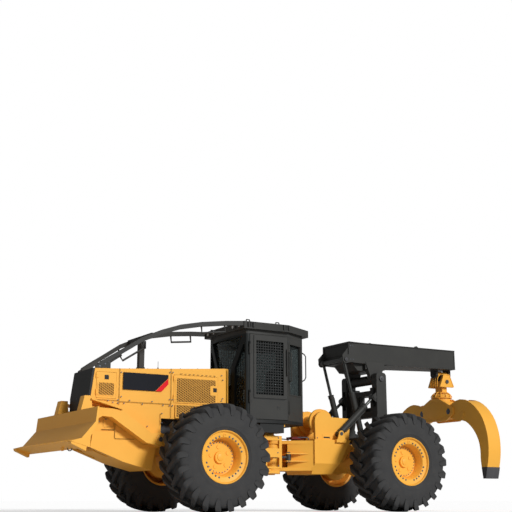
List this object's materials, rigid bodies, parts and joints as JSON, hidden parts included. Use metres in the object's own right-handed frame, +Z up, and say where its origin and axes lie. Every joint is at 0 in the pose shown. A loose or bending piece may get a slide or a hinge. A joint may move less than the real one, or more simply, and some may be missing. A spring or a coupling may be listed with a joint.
{
  "type": "articulated grapple skidder",
  "caption": "Articulated forestry skidder with a raised front blade, guarded cab, winch, leaning arch, boom and a hanging rotating log grapple",
  "frame": {"origin": "middle of the bounding box in plan, on the ground", "axes": "+X forward along the length, +Y to the machine's left, +Z up"},
  "size_m": [9.17, 3.205, 3.5089],
  "materials": {
    "yellow": "satin yellow paint",
    "dark": "satin dark grey paint",
    "black": "satin black paint",
    "rubber": "matt black rubber",
    "steel": "ground steel",
    "iron": "dark cast iron",
    "glass": "tinted glass",
    "vinyl": "black vinyl"
  },
  "bodies": {
    "chassis": {"front_frame": "yellow", "front_axle": "yellow", "hood": "yellow", "radiator_guard": "black", "engine_block": "iron", "limb_risers": "dark", "cab_floor": "dark", "cab_front_wall": "dark", "cab_rear_wall": "dark", "front_glass": "glass", "rear_glass": "glass", "roof": "dark", "seat": "vinyl", "console": "vinyl"},
    "blade": {"blade": "yellow"},
    "lift_barrels": {"lift_barrel_left": "yellow", "lift_barrel_right": "yellow"},
    "lift_rods": {"lift_rod_left": "steel", "lift_rod_right": "steel"},
    "rear": {"rear_frame": "yellow", "rear_axle": "yellow"},
    "drum": {"winch_drum": "yellow"},
    "arch": {"arch": "dark"},
    "arch_barrels": {"arch_barrel_left": "dark", "arch_barrel_right": "dark"},
    "arch_rods": {"arch_rod_left": "steel", "arch_rod_right": "steel"},
    "boom": {"boom": "dark"},
    "boom_barrels": {"boom_barrels": "dark"},
    "boom_rods": {"boom_rods": "steel"},
    "crosshead": {"crosshead": "yellow"},
    "link": {"rotator_link": "yellow"},
    "grapple": {"grapple_frame": "yellow"},
    "tong_left": {"tong_left": "yellow"},
    "tong_right": {"tong_right": "yellow"},
    "tong_barrel": {"grapple_barrel": "yellow"},
    "tong_rod": {"grapple_rod": "steel"},
    "cab_door_left": {"cab_door_left": "dark", "door_glass_left": "glass"},
    "front_hood_door_left": {"front_hood_door_left": "yellow"},
    "rear_hood_door_left": {"rear_hood_door_left": "yellow"},
    "steer_barrel_left": {"steer_barrel_left": "yellow"},
    "steer_rod_left": {"steer_rod_left": "steel"},
    "front_wheel_left": {"front_tyre_left": "rubber", "front_rim_left": "yellow"},
    "rear_wheel_left": {"rear_tyre_left": "rubber", "rear_rim_left": "yellow"},
    "cab_door_right": {"cab_door_right": "dark", "door_glass_right": "glass"},
    "front_hood_door_right": {"front_hood_door_right": "yellow"},
    "rear_hood_door_right": {"rear_hood_door_right": "yellow"},
    "steer_barrel_right": {"steer_barrel_right": "yellow"},
    "steer_rod_right": {"steer_rod_right": "steel"},
    "front_wheel_right": {"front_tyre_right": "rubber", "front_rim_right": "yellow"},
    "rear_wheel_right": {"rear_tyre_right": "rubber", "rear_rim_right": "yellow"}
  },
  "joints": [
    {"name": "front_wheel_left", "type": "hinge", "parent": "chassis", "child": "front_wheel_left", "pos_m": [1.865, 1.215, 0.925], "axis": [0, 1, 0], "continuous": true},
    {"name": "front_wheel_right", "type": "hinge", "parent": "chassis", "child": "front_wheel_right", "pos_m": [1.865, -1.215, 0.925], "axis": [0, 1, 0], "continuous": true},
    {"name": "rear_wheel_left", "type": "hinge", "parent": "rear", "child": "rear_wheel_left", "pos_m": [-2.135, 1.215, 0.925], "axis": [0, 1, 0], "continuous": true},
    {"name": "rear_wheel_right", "type": "hinge", "parent": "rear", "child": "rear_wheel_right", "pos_m": [-2.135, -1.215, 0.925], "axis": [0, 1, 0], "continuous": true},
    {"name": "articulation", "type": "hinge", "parent": "chassis", "child": "rear", "pos_m": [-0.015, 0, 1], "axis": [0, 0, 1], "range_deg": [-45, 45]},
    {"name": "steer_turn_left", "type": "hinge", "parent": "chassis", "child": "steer_barrel_left", "pos_m": [0.915, 0.36, 1.005], "axis": [0, 0, 1], "range_deg": [-6.64, 6.64]},
    {"name": "steer_slide_left", "type": "slide", "parent": "steer_barrel_left", "child": "steer_rod_left", "axis": [-1, 0, 0], "range_m": [-0.2809, 0.2809]},
    {"name": "steer_turn_right", "type": "hinge", "parent": "chassis", "child": "steer_barrel_right", "pos_m": [0.915, -0.36, 1.005], "axis": [0, 0, 1], "range_deg": [-6.64, 6.64]},
    {"name": "steer_slide_right", "type": "slide", "parent": "steer_barrel_right", "child": "steer_rod_right", "axis": [-1, 0, 0], "range_m": [-0.2809, 0.2809]},
    {"name": "cab_door_left", "type": "hinge", "parent": "chassis", "child": "cab_door_left", "pos_m": [0.895, 0.745, 2.4], "axis": [0, 0, -1], "range_deg": [0, 88]},
    {"name": "front_hood_door_left", "type": "hinge", "parent": "chassis", "child": "front_hood_door_left", "pos_m": [3.79, 0.462, 2.15], "axis": [0, 0, -1], "range_deg": [0, 90]},
    {"name": "rear_hood_door_left", "type": "hinge", "parent": "chassis", "child": "rear_hood_door_left", "pos_m": [2.31, 0.462, 2.15], "axis": [0, 0, -1], "range_deg": [0, 90]},
    {"name": "cab_door_right", "type": "hinge", "parent": "chassis", "child": "cab_door_right", "pos_m": [0.895, -0.745, 2.4], "axis": [0, 0, 1], "range_deg": [0, 88]},
    {"name": "front_hood_door_right", "type": "hinge", "parent": "chassis", "child": "front_hood_door_right", "pos_m": [3.79, -0.462, 2.15], "axis": [0, 0, 1], "range_deg": [0, 90]},
    {"name": "rear_hood_door_right", "type": "hinge", "parent": "chassis", "child": "rear_hood_door_right", "pos_m": [2.31, -0.462, 2.15], "axis": [0, 0, 1], "range_deg": [0, 90]},
    {"name": "blade_lift", "type": "hinge", "parent": "chassis", "child": "blade", "pos_m": [2.645, 0, 1.24], "axis": [0, 1, 0], "range_deg": [-3, 35]},
    {"name": "lift_turn", "type": "hinge", "parent": "chassis", "child": "lift_barrels", "pos_m": [3.615, 0.3, 2.05], "axis": [0, 1, 0], "range_deg": [-2.75, 21.42]},
    {"name": "lift_slide", "type": "slide", "parent": "lift_barrels", "child": "lift_rods", "axis": [0.4081, 0, -0.9129], "range_m": [-0.0704, 0.7144]},
    {"name": "winch_drum", "type": "hinge", "parent": "rear", "child": "drum", "pos_m": [-1.035, 0, 1.72], "axis": [0, 1, 0], "continuous": true},
    {"name": "arch_lean", "type": "hinge", "parent": "rear", "child": "arch", "pos_m": [-2.135, 0, 1.22], "axis": [0, -1, 0], "range_deg": [-5, 40]},
    {"name": "arch_turn", "type": "hinge", "parent": "rear", "child": "arch_barrels", "pos_m": [-1.255, 0.52, 1.47], "axis": [0, 1, 0], "range_deg": [-22.93, 3.74]},
    {"name": "arch_slide", "type": "slide", "parent": "arch_barrels", "child": "arch_rods", "axis": [-0.7479, 0, 0.6638], "range_m": [-0.0701, 0.4905]},
    {"name": "boom_lift", "type": "hinge", "parent": "arch", "child": "boom", "pos_m": [-2.265, 0, 2.6], "axis": [0, -1, 0], "range_deg": [-6, 22]},
    {"name": "boom_turn", "type": "hinge", "parent": "arch", "child": "boom_barrels", "pos_m": [-1.935, 0.36, 1.38], "axis": [0, 1, 0], "range_deg": [-8.62, 3.08]},
    {"name": "boom_slide", "type": "slide", "parent": "boom_barrels", "child": "boom_rods", "axis": [0.2569, 0, 0.9664], "range_m": [-0.0705, 0.2319]},
    {"name": "grapple_side_swing", "type": "hinge", "parent": "boom", "child": "crosshead", "pos_m": [-4.36, 0, 2.86], "axis": [1, 0, 0], "range_deg": [-25, 25]},
    {"name": "grapple_fore_swing", "type": "hinge", "parent": "crosshead", "child": "link", "pos_m": [-4.36, 0, 2.7], "axis": [0, 1, 0], "range_deg": [-20, 62]},
    {"name": "grapple_rotator", "type": "hinge", "parent": "link", "child": "grapple", "pos_m": [-4.36, 0, 2.34], "axis": [0, 0, 1], "continuous": true},
    {"name": "tong_left", "type": "hinge", "parent": "grapple", "child": "tong_left", "pos_m": [-4.36, 0.42, 2.04], "axis": [1, 0, 0], "range_deg": [-47.6, 6]},
    {"name": "tong_right", "type": "hinge", "parent": "grapple", "child": "tong_right", "pos_m": [-4.36, -0.42, 2.04], "axis": [1, 0, 0], "range_deg": [-7, 48.6]},
    {"name": "grapple_cylinder_turn", "type": "hinge", "parent": "tong_left", "child": "tong_barrel", "pos_m": [-4.36, 0.82, 1.95], "axis": [1, 0, 0], "range_deg": [-8, 49.6]},
    {"name": "grapple_cylinder_slide", "type": "slide", "parent": "tong_barrel", "child": "tong_rod", "axis": [0, -1, 0], "range_m": [-0.3504, 0.0529]}
  ],
  "couplings": [
    {"joint": "steer_turn_left", "follows": "articulation", "ratio": 0.12538},
    {"joint": "steer_slide_left", "follows": "articulation", "m_per_rad": 0.34491},
    {"joint": "steer_turn_right", "follows": "articulation", "ratio": 0.12538},
    {"joint": "steer_slide_right", "follows": "articulation", "m_per_rad": -0.34491},
    {"joint": "lift_turn", "follows": "blade_lift", "ratio": 0.58334},
    {"joint": "lift_slide", "follows": "blade_lift", "m_per_rad": 1.1531},
    {"joint": "arch_turn", "follows": "arch_lean", "ratio": -0.54837},
    {"joint": "arch_slide", "follows": "arch_lean", "m_per_rad": 0.6882},
    {"joint": "boom_turn", "follows": "boom_lift", "ratio": -0.34636},
    {"joint": "boom_slide", "follows": "boom_lift", "m_per_rad": 0.57801},
    {"joint": "tong_right", "follows": "tong_left", "ratio": -1},
    {"joint": "grapple_cylinder_turn", "follows": "tong_left", "ratio": -1},
    {"joint": "grapple_cylinder_slide", "follows": "tong_left", "m_per_rad": 0.40977}
  ]
}
